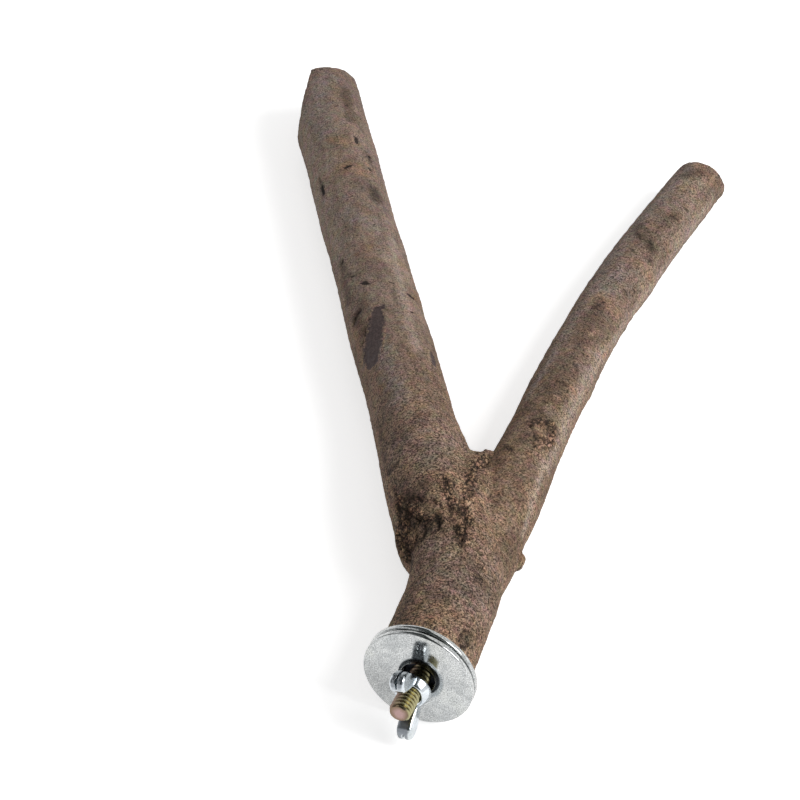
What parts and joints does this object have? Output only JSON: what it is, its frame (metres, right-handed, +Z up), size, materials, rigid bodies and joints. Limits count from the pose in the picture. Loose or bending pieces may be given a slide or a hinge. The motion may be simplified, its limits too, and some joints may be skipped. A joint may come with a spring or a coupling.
{
  "type": "bird perch",
  "caption": "Natural forked-branch perch for a bird cage, with a threaded stud, large washers and a wing nut that clamp it to the cage bars.",
  "frame": {"origin": "on the washers' axis, in the plane of the inner washer's outer face, where the cage bars are clamped", "axes": "-Y out along the bolt, which lies 1.7 mm below and 0.4 mm beside the washers' axis, +Y into the branch, +Z up with the perch lying on a table on its washers and limbs"},
  "size_m": [0.1556, 0.2786, 0.0318],
  "materials": {
    "bark": "dry grey-brown bark, mottled, with dark knots and peeled patches; pale sawn ends",
    "yellow_zinc": "yellow-passivated zinc on steel, faintly iridescent",
    "satin_zinc": "satin zinc plate, lightly cloudy",
    "bright_zinc": "bright zinc plate"
  },
  "bodies": {
    "branch": {"branch": "bark", "hanger_bolt": "yellow_zinc"},
    "inner_washer": {"inner_washer": "satin_zinc"},
    "outer_washer": {"outer_washer": "satin_zinc"},
    "wing_nut": {"wing_nut": "bright_zinc"}
  },
  "joints": [
    {"name": "inner_washer_spin", "type": "hinge", "parent": "branch", "child": "inner_washer", "pos_m": [0, 0, 0], "axis": [0, -1, 0], "continuous": true},
    {"name": "outer_washer_slide", "type": "slide", "parent": "branch", "child": "outer_washer", "axis": [0, -1, 0], "range_m": [0, 0.0104]},
    {"name": "wing_nut_turn", "type": "hinge", "parent": "outer_washer", "child": "wing_nut", "pos_m": [-0.0004, -0.0047, -0.0017], "axis": [0, -1, 0], "range_deg": [0, 2940]}
  ],
  "couplings": [
    {"joint": "outer_washer_slide", "follows": "wing_nut_turn", "m_per_rad": 0.00020213}
  ]
}
